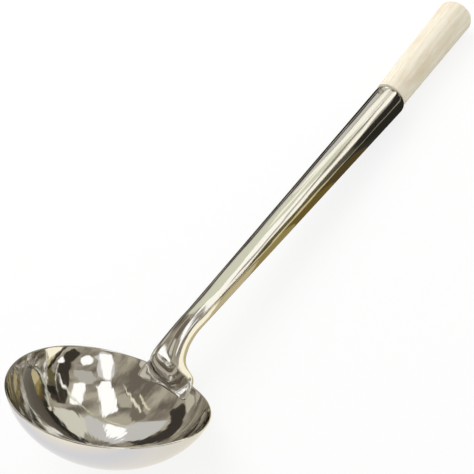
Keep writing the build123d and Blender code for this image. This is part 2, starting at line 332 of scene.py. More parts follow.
def room_paint():
    """A dim room's walls: greys and browns in long uneven bands about a metre wide, so that plain parts
    of the steel aren't one flat tone."""
    material, tree = new_material("room_walls")
    bands = put(tree, "ShaderNodeMapping", {
        "Vector": put(tree, "ShaderNodeTexCoord").outputs["Object"],
        "Rotation": (0, 0, radians(35)), "Scale": (0.35, 1.5, 0.6),
    })
    patches = put(tree, "ShaderNodeTexNoise", {
        "Vector": bands, "Scale": 0.9, "Detail": 4, "Roughness": 0.6,
    })
    tones = put(tree, "ShaderNodeValToRGB", {"Fac": patches})
    blend(tones, ((0.42, "#665F55"), (0.6, "#A8A292")))
    shine(tree, tones)
    return material


def table_paint():
    """The floor's colours in the steel, blended along the ladle, with painted shade near the bowl."""
    material, tree = new_material("table_top_seen_in_steel")
    place = put(tree, "ShaderNodeSeparateXYZ", {0: put(tree, "ShaderNodeTexCoord").outputs["Object"]})
    share = put(tree, "ShaderNodeMapRange", {
        "Value": place.outputs["X"], "From Min": -floor_tone_reach * mm, "From Max": floor_tone_reach * mm,
    })
    tones = put(tree, "ShaderNodeValToRGB", {"Fac": share})
    blend(tones, [((station + floor_tone_reach) / (2 * floor_tone_reach), code)
                  for station, code in floor_tones])
    shine(tree, tones)
    return material


dome_mesh = bpy.data.meshes.new("dome")
builder = bmesh.new()
bmesh.ops.create_uvsphere(builder, u_segments=48, v_segments=24, radius=room_radius)
builder.to_mesh(dome_mesh)
builder.free()
dome_mesh.transform(Matrix.Translation(room_middle))
add_reflector("dome", dome_mesh, room_paint())
for number, (name, code, outline) in enumerate(room_cards):
    hang_card(name, code, outline, room_radius - card_step * (number + 1))

near_cards = list(wall_cards)
for number, (name, code, outline) in enumerate(floor_patches):
    height = patch_height + patch_gap * number
    near_cards.append((name, code, [(along, across, height) for along, across in outline]))
for number, (name, code, (height, climb, lean), outline) in enumerate(shank_sheets):
    near_cards.append((name, code, [
        (along, across, height - number * sheet_gap + along * climb + across * lean)
        for along, across in outline
    ]))
for name, code, corners in near_cards:
    card_mesh = bpy.data.meshes.new(name)
    card_mesh.from_pydata([Vector(corner) * mm for corner in corners], [], [range(len(corners))])
    add_reflector(name, card_mesh, one_colour(name, code))

table_mesh = disc("table_top", table_radius)
table_mesh.transform(Matrix.Translation((0, 0, table_height)))
add_reflector("table_top", table_mesh, table_paint())

# Bowl: the lower part of a flattened ball, pressed from one disc of stainless sheet, trimmed to a rim
# that is a little lower at neck and tip than at the sides, and buffed to a mirror. The rim's edge is
# eased, and the shank's foot stands on it.
bowl_width = 120 * mm
bowl_depth = 36.7 * mm
bowl_flatness = 0.782
bowl_sheet = 1.2 * mm
rim_saddle = 4.4 * mm
rim_rounding = 0.4 * mm
rim_rounding_steps = 3
rim_corner = radians(50)
rest_tilt = radians(41.8772)
rim_middle = Vector((-168.517, 0, 46.0904)) * mm
bowl_turns = 288
bowl_rings = 96

full_depth = bowl_depth / bowl_flatness
ball_half_width = ((bowl_width / 2) ** 2 + full_depth**2) / (2 * full_depth)
ball_half_height = ball_half_width * bowl_flatness
ball_centre = ball_half_height - bowl_depth
lay_down = Matrix.Translation(rim_middle) @ Matrix.Rotation(rest_tilt, 4, "Y")


def new_tree(name, sizes):
    """An empty Geometry Nodes tree with the given named inputs, and the sockets that hold them."""
    tree = bpy.data.node_groups.new(name, "GeometryNodeTree")
    for size, kind in sizes:
        tree.interface.new_socket(size, in_out="INPUT", socket_type="NodeSocket" + kind)
    tree.interface.new_socket("Geometry", in_out="OUTPUT", socket_type="NodeSocketGeometry")
    return tree, tree.nodes.new("NodeGroupInput").outputs


def end_tree(tree, made, material):
    """Ends a Geometry Nodes tree: what it made becomes one real mesh in its material."""
    real = put(tree, "GeometryNodeRealizeInstances", {0: made})
    dressed = put(tree, "GeometryNodeSetMaterial", {0: real, "Material": material})
    put(tree, "NodeGroupOutput", {0: dressed})


def bowl_tree():
    """Nodes that press a flat grid to the bowl: its x runs round the rim and its y up the wall."""
    tree, given = new_tree("pressed_bowl", (
        ("Half Width", "Float"), ("Half Height", "Float"), ("Centre Height", "Float"), ("Saddle", "Float"),
        ("Turns", "Int"), ("Rings", "Int"), ("Material", "Material"),
    ))
    grid = put(tree, "GeometryNodeMeshGrid", {
        "Size X": 1, "Size Y": 1, "Vertices X": given["Turns"], "Vertices Y": given["Rings"],
    })
    spot = put(tree, "ShaderNodeSeparateXYZ", {0: put(tree, "GeometryNodeInputPosition")}).outputs
    turn = put(tree, "ShaderNodeMath", {0: spot["X"], 1: 2 * pi}, operation="MULTIPLY")
    forward = put(tree, "ShaderNodeMath", {0: turn}, operation="COSINE")
    dip = put(tree, "ShaderNodeMath", {0: forward, 1: forward, 2: -0.5}, operation="MULTIPLY_ADD")
    rim_drop = put(tree, "ShaderNodeMath", {0: given["Saddle"], 1: dip, 2: given["Centre Height"]},
                   operation="MULTIPLY_ADD")
    rim_share = put(tree, "ShaderNodeMath", {0: rim_drop, 1: given["Half Height"]}, operation="DIVIDE")
    rim_climb = put(tree, "ShaderNodeMath", {0: rim_share}, operation="ARCCOSINE")
    climb_share = put(tree, "ShaderNodeMath", {0: spot["Y"], 1: 0.5}, operation="ADD")
    climb = put(tree, "ShaderNodeMath", {0: climb_share, 1: rim_climb}, operation="MULTIPLY")
    # Each point starts at the bottom of the ball, and goes up the wall by its climb and round by its turn.
    angles = put(tree, "ShaderNodeCombineXYZ", {1: climb, 2: turn})
    way = put(tree, "ShaderNodeVectorRotate", {"Vector": (0, 0, -1), "Rotation": angles},
              rotation_type="EULER_XYZ")
    ball = put(tree, "ShaderNodeCombineXYZ", {
        0: given["Half Width"], 1: given["Half Width"], 2: given["Half Height"],
    })
    centre = put(tree, "ShaderNodeCombineXYZ", {2: given["Centre Height"]})
    place = put(tree, "ShaderNodeVectorMath", {0: way, 1: ball, 2: centre}, operation="MULTIPLY_ADD")
    pressed = put(tree, "GeometryNodeSetPosition", {0: grid, "Position": place})
    closed = put(tree, "GeometryNodeMergeByDistance", {0: pressed, "Distance": 0.001 * mm})
    end_tree(tree, closed, given["Material"])
    return tree


def plain_mesh(holder):
    """The mesh that an object's modifiers leave it with. The object itself goes."""
    bpy.context.scene.collection.objects.link(holder)
    mesh = bpy.data.meshes.new_from_object(holder.evaluated_get(bpy.context.evaluated_depsgraph_get()))
    bpy.data.objects.remove(holder)
    return mesh


def grow(name, tree, sizes):
    """The plain mesh that a Geometry Nodes tree makes with the given sizes."""
    holder = bpy.data.objects.new(name, bpy.data.meshes.new(name))
    modifier = holder.modifiers.new("grow", "NODES")
    modifier.node_group = tree
    for item in tree.interface.items_tree:
        if item.in_out == "INPUT":
            modifier[item.identifier] = sizes[item.name]
    return plain_mesh(holder)


def outward(mesh):
    """The mesh with its doubles merged and its faces turned outwards."""
    builder = bmesh.new()
    builder.from_mesh(mesh)
    bmesh.ops.remove_doubles(builder, verts=builder.verts, dist=0.0005 * mm)
    bmesh.ops.recalc_face_normals(builder, faces=builder.faces)
    builder.to_mesh(mesh)
    builder.free()
    return mesh


def polished(tree, lines, line_depth, waves, wave_depth, haze):
    """Ends a tree in polished stainless steel. The polishing lines stand in low relief on broad faint
    waves, and the steel is a little hazier where the lines are high. The real lines are finer. They
    are drawn about 1 mm apart, so that they show at this size."""
    line_relief = put(tree, "ShaderNodeBump", {"Distance": line_depth, "Height": lines})
    relief = put(tree, "ShaderNodeBump", {
        "Distance": wave_depth, "Height": waves, "Normal": line_relief,
    })
    roughness = put(tree, "ShaderNodeMapRange", {
        "Value": lines, "From Min": 0.35, "From Max": 0.7, "To Min": haze[0], "To Max": haze[1],
    })
    surface = put(tree, "ShaderNodeBsdfPrincipled", {
        "Base Color": linear("#E3E1DD"), "Metallic": 1.0, "Roughness": roughness, "Normal": relief,
    })
    put(tree, "ShaderNodeOutputMaterial", {"Surface": surface})


def bowl_polish():
    """Mirror-polished stainless sheet. Buffing leaves fine lines that run down the wall and draw each
    reflection out, and the pressing leaves it faintly wavy, so no window keeps a straight edge."""
    wall_reach = (45, 45, 45)
    lines_per_mm = 0.9
    line_stretch = 0.05
    waves_per_mm = 0.06
    material, tree = new_material("buffed_stainless_sheet")
    rim_place = put(tree, "ShaderNodeMapping", {
        "Vector": put(tree, "ShaderNodeTexCoord").outputs["Object"],
        "Location": rim_middle, "Rotation": (0, rest_tilt, 0), "Scale": (mm, mm, mm),
    }, vector_type="TEXTURE")
    level = put(tree, "ShaderNodeVectorMath", {0: rim_place, 1: (1, 1, 0)}, operation="MULTIPLY")
    around = put(tree, "ShaderNodeVectorMath", {0: level}, operation="NORMALIZE")
    climb = put(tree, "ShaderNodeVectorMath", {0: rim_place, 1: (0, 0, line_stretch)}, operation="MULTIPLY")
    down_wall = put(tree, "ShaderNodeVectorMath", {0: around, 1: wall_reach, 2: climb},
                    operation="MULTIPLY_ADD")
    lines = put(tree, "ShaderNodeTexNoise", {
        "Vector": down_wall, "Scale": lines_per_mm, "Detail": 4, "Roughness": 0.65,
    })
    over_wall = put(tree, "ShaderNodeVectorMath", {0: around, 1: wall_reach, 2: rim_place},
                    operation="MULTIPLY_ADD")
    waves = put(tree, "ShaderNodeTexNoise", {"Vector": over_wall, "Scale": waves_per_mm})
    polished(tree, lines, 0.006 * mm, waves, 0.15 * mm, (0.03, 0.1))
    return material


bowl_steel = bowl_polish()
bowl_shell = bpy.data.objects.new("bowl_shell", outward(grow("bowl_shell", bowl_tree(), {
    "Half Width": ball_half_width, "Half Height": ball_half_height, "Centre Height": ball_centre,
    "Saddle": rim_saddle, "Turns": bowl_turns, "Rings": bowl_rings, "Material": bowl_steel,
})))
thicken = bowl_shell.modifiers.new("thicken", "SOLIDIFY")
thicken.thickness = bowl_sheet
thicken.offset = -1
ease = bowl_shell.modifiers.new("ease", "BEVEL")
ease.width = rim_rounding
ease.segments = rim_rounding_steps
ease.limit_method = "ANGLE"
ease.angle_limit = rim_corner
bowl_mesh = plain_mesh(bowl_shell)
bowl_mesh.transform(lay_down)
bowl = new_piece("pressed_bowl", bowl_mesh, bowl_steel)
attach(bowl, "root")
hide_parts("bowl")

# Shank: one sheet of stainless rolled to a tapered tube with its seam underneath, bent at the neck,
# and pressed out at its lower end to a foot. The foot stands on the rim and its front laps down inside
# the bowl as a tongue, which is spot-welded to the wall. The upper end is the socket of the grip.
shank_sheet = 1.0 * mm
shank_climb = radians(38.1)
shank_length = 217.8 * mm
neck_radius = 6.9 * mm
socket_radius = 11.65 * mm
lip_length = 3.5 * mm
lip_depth = 0.7 * mm
mouth_rounding = 0.3 * mm
seam_run_out = 20 * mm
seam_half_width = 0.25 * mm
seam_depth = 0.5 * mm
seam_edge = 0.15 * mm

# The neck: it bends up in one arc, and widens to the foot with these shares of its half width and of
# its upper and lower half depth. Each grows with a power of the way round the bend.
neck_climb = radians(79)
bend_radius = 46 * mm
neck_inset = 10 * mm
neck_rise = 8.1 * mm
neck_foot_shares = (1.72, 1.15, 1.50)
neck_flare_powers = (2.6, 2.6, 1.2)
neck_fullness = 2.7
bend_foot = (bowl_width / 2 - neck_inset, neck_rise)
bend_centre = (bend_foot[0] + bend_radius * sin(neck_climb), bend_foot[1] - bend_radius * cos(neck_climb))
bend_top = (bend_centre[0] - bend_radius * sin(shank_climb),
            bend_centre[1] + bend_radius * cos(shank_climb))

# Heights of the foot above the mean rim in mm and, at each: its half width, and how far its front
# stands from the bowl's axis in the middle. The front rounds in under a toe to the flat tongue.
foot_table = (
    (-10.4, 15.0, 58.8),
    (-10.1, 16.6, 58.5),
    (-9.6, 18.0, 58.0),
    (-8.8, 19.0, 57.2),
    (-6.8, 19.3, 54.8),
    (-5.5, 19.2, 53.4),
    (-3.5, 18.9, 51.4),
    (0.0, 17.4, 48.2),
    (4.2, 14.6, 45.0),
    (8.1, 11.9, 42.2),
)
foot_top = 5.6 * mm
foot_bottom = -10.4 * mm
foot_shift = 2.4 * mm
foot_drift = 0.6 * mm
foot_edge_shares = (0.93, 0.6)
flattening = 5.5 * mm

# The foot's back lies in the bowl's sheet, and steps out over the rim from the first of these heights
# within the second. The toe rises on each side by a power of the share of the given reach.
back_step = (-2.6 * mm, 0.6 * mm)
back_depth = 0.25 * mm
back_trim = 0.1 * mm
toe_shift = -0.5 * mm
toe_right = (10.5 * mm, 3)
toe_left = (17 * mm, 2.4)
toe_rise = 10 * mm
toe_fillet = 5 * mm

# The tongue thins at its edges, and its end is drawn up a little round a point beside its middle. The
# spot weld is a shallow pressed dent with a raised ring round it, in shares of its radius and depth.
tongue_sheet = 1.0 * mm
tongue_rounding = 2.2 * mm
tongue_edge_share = 0.3
tongue_lean = 0.1
tongue_peak = 4 * mm
tongue_peak_reach = 10 * mm
tongue_peak_rounding = 3 * mm
spot_weld = (18.2 * mm, -2.6 * mm)
spot_weld_radius = 3.0 * mm
spot_weld_depth = 0.35 * mm
spot_ring_place = 1.3
spot_ring_width = 0.3
spot_ring_share = 0.5

column_count = 200
lip_rings = 8
inside_rings = 6
straight_rings = 60
bend_rings = 44
foot_rings = 46
end_rings = 12
smoothing_passes = 60
turns = np.linspace(0, 2 * pi, column_count, endpoint=False)
foot_heights, foot_half_widths, foot_fronts = np.array(foot_table).T * mm


def tube_radius(place):
    """Outer radius of the straight tube at a distance from the neck."""
    return neck_radius + (socket_radius - neck_radius) * place / shank_length


def smooth_curve(stations, values, place):
    """A smooth curve through the values at the stations, read at one place."""
    slopes = np.gradient(values, stations)
    span = np.clip(np.searchsorted(stations, place) - 1, 0, len(stations) - 2)
    length = stations[span + 1] - stations[span]
    share = (place - stations[span]) / length
    start = values[span] * (1 + 2 * share) + slopes[span] * length * share
    end = values[span + 1] * (3 - 2 * share) - slopes[span + 1] * length * (1 - share)
    return start * (1 - share) ** 2 + end * share**2


def quarter(steps):
    """The sine and cosine of each equal step through a quarter turn, for a rounded edge."""
    return [(sin(step / steps * pi / 2), cos(step / steps * pi / 2)) for step in range(1, steps + 1)]


def wall_radius(height, inset=0):
    """Distance of the bowl's wall from its axis at a height, drawn in from its outer face."""
    share = (height - ball_centre) / (ball_half_height - inset)
    return (ball_half_width - inset) * np.sqrt(1 - share**2)


def fuller(shares, fullness):
    """Cosines or sines of a round section, swelled towards the corners where the fullness is over 2."""
    return np.sign(shares) * np.abs(shares) ** (2 / fullness)


def tube_ring(x, z, climb, shift, half_width, upper, lower, around, fullness=2):
    """Points round a cross section of the tube, two half ellipses square to its run."""
    fullness = np.where(np.sin(around) > 0, fullness, 2)
    depth = np.where(np.sin(around) > 0, upper, lower) * fuller(np.sin(around), fullness)
    width = half_width * fuller(np.cos(around), fullness)
    return np.stack([x - depth * sin(climb), shift + width, z + depth * cos(climb)], 1)


def straight_ring(place, radius, seam=0):
    """A round section of the straight tube, with the groove of its butt seam in the underside."""
    around = turns.copy()
    bottom = column_count * 3 // 4
    for side in (-1, 1):
        around[bottom + side] = 1.5 * pi + side * seam_half_width / radius
        around[bottom + 2 * side] = 1.5 * pi + side * (seam_half_width + seam_edge) / radius
    sizes = np.full(column_count, radius)
    sizes[bottom - 1:bottom + 2] -= seam * seam_depth
    x = bend_top[0] + place * cos(shank_climb)
    z = bend_top[1] + place * sin(shank_climb)
    return tube_ring(x, z, shank_climb, 0, sizes, sizes, sizes, around)


def foot_front(height, front_middle, side, sideways, half_width):
    """How far the foot's front stands from the bowl's axis: a toe that runs out in the flat tongue."""
    from_side = np.clip(1 - (half_width - np.abs(side)) / tongue_rounding, 0, 1)
    from_end = np.clip(1 - (height - foot_bottom) / tongue_rounding, 0, 1)
    thin_side, thin_end = [tongue_edge_share + (1 - tongue_edge_share) * np.sqrt(1 - from_edge**2)
                           for from_edge in (from_side, from_end)]
    tongue = wall_radius(height, bowl_sheet) - tongue_sheet * thin_side * thin_end
    from_toe = sideways - toe_shift
    toe_reach, toe_power = np.where(from_toe[:, None] < 0, toe_right, toe_left).T
    toe = front_middle + toe_rise * np.abs(from_toe / toe_reach) ** toe_power
    front = 0.5 * (tongue + toe - np.hypot(tongue - toe, toe_fillet * thin_side**2))
    off_spot = np.hypot(sideways - spot_weld[0], height - spot_weld[1]) / spot_weld_radius
    ring = spot_ring_share * np.exp(-(((off_spot - spot_ring_place) / spot_ring_width) ** 2))
    return front + spot_weld_depth * (np.exp(-(off_spot**4)) - ring)


def foot_ring(height):
    """Points round a level section of the foot: its back on the wall, its front a toe on a tongue."""
    half_width = smooth_curve(foot_heights, foot_half_widths, height)
    front_middle = smooth_curve(foot_heights, foot_fronts, height)
    on_front = np.sin(turns) >= 0
    fullness = np.where(on_front, neck_fullness, 2)
    side = half_width * fuller(np.cos(turns), fullness)
    sunk_share = np.clip((neck_rise - height) / (neck_rise - foot_bottom), 0, 1)
    sideways = foot_shift + foot_drift * sunk_share + side
    front = foot_front(height, front_middle, side, sideways, half_width)
    inner = wall_radius(height, bowl_sheet)
    on_rim = np.clip((height - back_step[0]) / back_step[1], 0, 1)
    back = inner + back_depth + (wall_radius(height) - inner - back_trim) * on_rim
    reach = np.where(on_front, front, back)
    flat_x = np.sqrt(np.maximum(reach**2 - sideways**2, 0))
    # Near the neck the section is still the tube's own, two half ellipses about its edges.
    edge_x = np.sqrt((inner * foot_edge_shares[0]) ** 2 - (half_width * foot_edge_shares[1]) ** 2)
    half_depth = np.where(on_front, edge_x - front_middle, back - edge_x)
    round_x = edge_x - half_depth * fuller(np.sin(turns), fullness)
    flat_share = np.clip((neck_rise - height) / flattening, 0, 1)
    flat_share = flat_share**2 * (3 - 2 * flat_share)
    off_peak = np.hypot(sideways - tongue_peak, tongue_peak_rounding)
    lean = tongue_lean * (tongue_peak_reach + tongue_peak_rounding - off_peak)
    level = height + np.clip(height / foot_bottom, 0, 1) * lean
    return np.stack([round_x + (flat_x - round_x) * flat_share, sideways, level], 1)


def shank_rings():
    """All cross sections of the shank's outer face, from the lip to the end of the tongue."""
    rings = []
    for place in np.linspace(shank_length - lip_length, 0, straight_rings):
        rings.append(straight_ring(place, tube_radius(place), min(place / seam_run_out, 1)))
    for place in np.linspace(0, 1, bend_rings + 1)[1:]:
        climb = shank_climb + (neck_climb - shank_climb) * place
        sizes = [neck_radius * (1 + (share - 1) * place**power)
                 for share, power in zip(neck_foot_shares, neck_flare_powers)]
        x = bend_centre[0] - bend_radius * sin(climb)
        z = bend_centre[1] + bend_radius * cos(climb)
        fullness = 2 + (neck_fullness - 2) * place**2
        rings.append(tube_ring(x, z, climb, foot_shift * place, *sizes, turns, fullness))
    last_full = foot_bottom + tongue_rounding
    for height in np.linspace(foot_top, last_full, foot_rings):
        rings.append(foot_ring(height))
    for rise, run in quarter(end_rings):
        rings.append(foot_ring(last_full - tongue_rounding * rise))
    # The metal flows from the neck into the foot: the rings between them are eased along the columns.
    rings = np.array(rings)
    first = straight_rings + bend_rings // 2
    last = straight_rings + bend_rings + foot_rings
    weight = np.zeros((len(rings), 1, 1))
    weight[first:last, 0, 0] = np.clip(4 * np.sin(np.linspace(0, pi, last - first)), 0, 1)
    for smoothing in range(smoothing_passes):
        eased = rings.copy()
        eased[1:-1] = (rings[:-2] + 2 * rings[1:-1] + rings[2:]) / 4
        rings += weight * (eased - rings)
    return list(rings)


def skin(rings):
    """A closed mesh through rings of equally many points, with both its ends filled."""
    count = len(rings[0])
    last = (len(rings) - 1) * count
    faces = []
    for start in range(0, last, count):
        for column in range(count):
            after = (column + 1) % count
            faces.append((start + column, start + after, start + count + after, start + count + column))
    faces.append(range(count))
    faces.append(range(last, last + count))
    mesh = bpy.data.meshes.new("skin")
    mesh.from_pydata(np.concatenate(rings).tolist(), [], faces)
    return outward(mesh)


def grain(tree, place, per_mm, detail, roughness=0.5, start=(0, 0, 0)):
    """Noise with so many grains per mm along each axis, for marks drawn out along a piece."""
    drawn_out = put(tree, "ShaderNodeMapping", {"Vector": place, "Location": start, "Scale": per_mm})
    return put(tree, "ShaderNodeTexNoise", {
        "Vector": drawn_out, "Scale": 1, "Detail": detail, "Roughness": roughness,
    })


def tube_polish():
    """Polished stainless tube. The belt's fine lines run along it and split each reflection into long
    streaks, and rolling leaves long faint flats, so the bright bands wander in width."""
    lines_per_mm = (1.1, 1.1, 0.022)
    flats_per_mm = (0.16, 0.16, 0.0256)
    material, tree = new_material("belt_polished_stainless_tube")
    unrolled = put(tree, "ShaderNodeAttribute", attribute_name="along_tube").outputs["Vector"]
    lines = grain(tree, unrolled, lines_per_mm, 4, roughness=0.6)
    flats = grain(tree, unrolled, flats_per_mm, 1)
    polished(tree, lines, 0.03 * mm, flats, 0.5 * mm, (0.06, 0.16))
    return material


lip = []
for share in np.linspace(1, 0, lip_rings, endpoint=False):
    place = shank_length - lip_length * (1 - share)
    lip.append((place, tube_radius(place) - lip_depth * share**2))
mouth_radius = lip[0][1]
inside = [(place, tube_radius(place) - shank_sheet)
          for place in np.linspace(0, shank_length - lip_length, inside_rings)]
inside.append((shank_length, mouth_radius - shank_sheet))
inside.append((shank_length + mouth_rounding, mouth_radius - shank_sheet / 2))
rings = [straight_ring(*station) for station in inside + lip] + shank_rings()
shank_mesh = skin(rings)

# Each point's place in mm on the unrolled tube, which the polish follows round the bend.
unrolled_radius = 10
middles = np.array([ring.mean(axis=0) for ring in rings])
runs = np.concatenate([[0], np.cumsum(np.linalg.norm(np.diff(middles, axis=0), axis=1))]) / mm
unrolled = np.empty((len(rings), column_count, 3))
unrolled[..., 0] = unrolled_radius * np.cos(turns)
unrolled[..., 1] = unrolled_radius * np.sin(turns)
unrolled[..., 2] = runs[:, None]
along_tube = shank_mesh.attributes.new("along_tube", "FLOAT_VECTOR", "POINT")
along_tube.data.foreach_set("vector", unrolled.ravel())

shank_mesh.transform(lay_down)
shank = new_piece("tube_shank", shank_mesh, tube_polish())
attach(shank, "root")
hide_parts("shank")

# Foot weld: the bead laid along the outside of the rim, behind the foot. A hand-fed weld freezes in
# small overlapping ripples, and the heat leaves it duller than the polished sheet.
weld_radius = 1.3 * mm
weld_ripple = 1.5 * mm
weld_ripple_depth = 0.16
weld_low_share = 0.72
weld_unevenness = 0.25
weld_uneven_length = 4 * mm
weld_end_share = 0.35
weld_end_taper = 14
weld_points = 260
weld_columns = 20
foot_half_width = 17 * mm
weld_height = -rim_saddle / 2


def weld_tree():
    """Nodes that sweep a round bead along an arc of the rim and swell it into even ripples."""
    tree, given = new_tree("weld_bead", (
        ("Rim Radius", "Float"), ("Height", "Float"), ("Start", "Float"), ("Sweep", "Float"),
        ("Bead Radius", "Float"), ("Ripple Length", "Float"), ("Ripple Depth", "Float"), ("Seed", "Int"),
        ("Material", "Material"),
    ))
    arc = put(tree, "GeometryNodeCurveArc", {
        "Resolution": weld_points, "Radius": given["Rim Radius"], "Start Angle": given["Start"],
        "Sweep Angle": given["Sweep"],
    }, mode="RADIUS")
    lift = put(tree, "ShaderNodeCombineXYZ", {2: given["Height"]})
    lifted = put(tree, "GeometryNodeTransform", {"Geometry": arc, "Translation": lift})
    run = put(tree, "GeometryNodeSplineParameter").outputs
    count = put(tree, "ShaderNodeMath", {0: run["Length"], 1: given["Ripple Length"]}, operation="DIVIDE")
    beat = put(tree, "ShaderNodeMath", {0: count, 1: pi}, operation="MULTIPLY")
    wave = put(tree, "ShaderNodeMath", {0: beat}, operation="SINE")
    ripple = put(tree, "ShaderNodeMath", {0: wave}, operation="ABSOLUTE")
    hand = put(tree, "ShaderNodeTexNoise", {
        "W": given["Seed"], "Scale": 1 / weld_uneven_length, "Detail": 1,
    }, noise_dimensions="4D")
    uneven = put(tree, "ShaderNodeMath", {0: hand, 1: weld_unevenness, 2: weld_low_share},
                 operation="MULTIPLY_ADD")
    full = put(tree, "ShaderNodeMath", {0: ripple, 1: given["Ripple Depth"], 2: uneven},
               operation="MULTIPLY_ADD")
    from_end = put(tree, "ShaderNodeMath", {0: run["Factor"], 1: 0.5}, operation="PINGPONG")
    taper = put(tree, "ShaderNodeMath", {0: from_end, 1: weld_end_taper, 2: weld_end_share},
                operation="MULTIPLY_ADD", use_clamp=True)
    width = put(tree, "ShaderNodeMath", {0: taper, 1: full}, operation="MULTIPLY")
    shaped = put(tree, "GeometryNodeSetCurveRadius", {"Curve": lifted, "Radius": width})
    section = put(tree, "GeometryNodeCurvePrimitiveCircle", {
        "Resolution": weld_columns, "Radius": given["Bead Radius"],
    })
    bead = put(tree, "GeometryNodeCurveToMesh", {
        "Curve": shaped, "Profile Curve": section, "Scale": width, "Fill Caps": True,
    })
    end_tree(tree, bead, given["Material"])
    return tree


def weld_skin():
    """Weld metal left as it froze: duller and browner than the sheet, with a straw tint from the heat
    in patches about 5 mm across."""
    material, tree = new_material("heat_tinted_weld_bead")
    place = put(tree, "ShaderNodeTexCoord").outputs["Object"]
    tint = put(tree, "ShaderNodeTexNoise", {"Vector": place, "Scale": 1 / (5 * mm)})
    tones = put(tree, "ShaderNodeValToRGB", {"Fac": tint})
    blend(tones, ((0.4, "#8F8A86"), (0.6, "#B9AA8B")))
    surface = put(tree, "ShaderNodeBsdfPrincipled", {
        "Base Color": tones, "Metallic": 1.0, "Roughness": 0.32,
    })
    put(tree, "ShaderNodeOutputMaterial", {"Surface": surface})
    return material


weld_steel = weld_skin()
weld_half_sweep = asin(foot_half_width / (bowl_width / 2))
weld_middle = asin(foot_shift / (bowl_width / 2))
weld_mesh = grow("weld_bead", weld_tree(), {
    "Rim Radius": float(wall_radius(weld_height)), "Height": weld_height, "Seed": 7,
    "Start": weld_middle - weld_half_sweep, "Sweep": 2 * weld_half_sweep, "Bead Radius": weld_radius,
    "Ripple Length": weld_ripple, "Ripple Depth": weld_ripple_depth, "Material": weld_steel,
})
weld_mesh.transform(lay_down)
weld = new_piece("weld_bead", outward(weld_mesh), weld_steel)
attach(weld, "root")
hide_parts("foot_weld")

# Grip: one piece of pale hardwood turned between centres. It widens a little towards its rounded end,
# its shoulder sits on the mouth of the socket, and its tenon fills the socket's upper end.
grip_length = 94.5 * mm
grip_mouth_radius = 11.05 * mm
grip_end_radius = 12.9 * mm
grip_end_rounding = 6.0 * mm
grip_lift = 1.1 * mm
grip_side_shift = 0.4 * mm
grip_tilt = radians(2.6)
grip_side_tilt = radians(0.9)
grip_shoulder_height = 0.32 * mm
grip_edge = 0.35 * mm
grip_body_start = 4 * mm
grip_dome = 0.25 * mm
grip_dome_shares = (0.75, 0.5, 0.25, 0.04)
tenon_length = 42 * mm
tenon_clearance = 0.05 * mm
tenon_chamfer = 2 * mm
grip_columns = 144
grip_body_rings = 24
grip_end_rings = 12
shoulder_rings = 4

tube_axis = np.array((cos(shank_climb), 0, sin(shank_climb)))
tube_up = np.array((-sin(shank_climb), 0, cos(shank_climb)))
tube_side = np.array((0, 1, 0))
mouth_middle = np.array((bend_top[0], 0, bend_top[1])) + shank_length * tube_axis
grip_climb = shank_climb + grip_tilt
grip_axis = np.array((cos(grip_climb) * cos(grip_side_tilt), sin(grip_side_tilt),
                      sin(grip_climb) * cos(grip_side_tilt)))
grip_side = np.cross((0, 0, 1), grip_axis)
grip_side /= np.linalg.norm(grip_side)
grip_top = np.cross(grip_axis, grip_side)
grip_start = mouth_middle + grip_lift * tube_up + grip_side_shift * tube_side
grip_turns = np.linspace(0, 2 * pi, grip_columns, endpoint=False)[:, None]


def grip_ring(place, radius):
    """A round section of the grip, square to its own axis."""
    around = np.cos(grip_turns) * grip_side + np.sin(grip_turns) * grip_top
    return grip_start + place * grip_axis + radius * around


def tenon_ring(place, radius):
    """A round section of the tenon, square to the tube's axis."""
    around = np.cos(grip_turns) * tube_side + np.sin(grip_turns) * tube_up
    return mouth_middle + (place - shank_length) * tube_axis + radius * around


def on_mouth(ring, lift):
    """The ring slid along the grip's axis until it stands the given height off the mouth."""
    slide = (lift - (ring - mouth_middle) @ tube_axis) / (grip_axis @ tube_axis)
    return ring + slide[:, None] * grip_axis


def grip_rings():
    """Sections of the whole grip, from the end of the tenon to the rounded end."""
    rings = []
    tenon_end = shank_length - tenon_length
    for place, chamfer in ((tenon_end, tenon_chamfer), (tenon_end + tenon_chamfer, 0),
                           (shank_length - lip_length, 0)):
        rings.append(tenon_ring(place, tube_radius(place) - shank_sheet - tenon_clearance - chamfer))
    for place in (shank_length, shank_length + grip_shoulder_height):
        rings.append(tenon_ring(place, mouth_radius - shank_sheet - tenon_clearance))
    for rise, run in [(0, 1)] + quarter(shoulder_rings):
        shoulder = grip_ring(0, grip_mouth_radius - grip_edge * (1 - rise))
        rings.append(on_mouth(shoulder, grip_shoulder_height + grip_edge * (1 - run)))
    for place in np.linspace(grip_body_start, grip_length - grip_end_rounding, grip_body_rings):
        swell = (grip_end_radius - grip_mouth_radius) * place / grip_length
        rings.append(grip_ring(place, grip_mouth_radius + swell))
    for rise, run in quarter(grip_end_rings):
        rings.append(grip_ring(grip_length - grip_end_rounding * (1 - rise) - grip_dome,
                               grip_end_radius - grip_end_rounding * (1 - run)))
    for share in grip_dome_shares:
        rings.append(grip_ring(grip_length - grip_dome * share**2,
                               (grip_end_radius - grip_end_rounding) * share))
    return rings


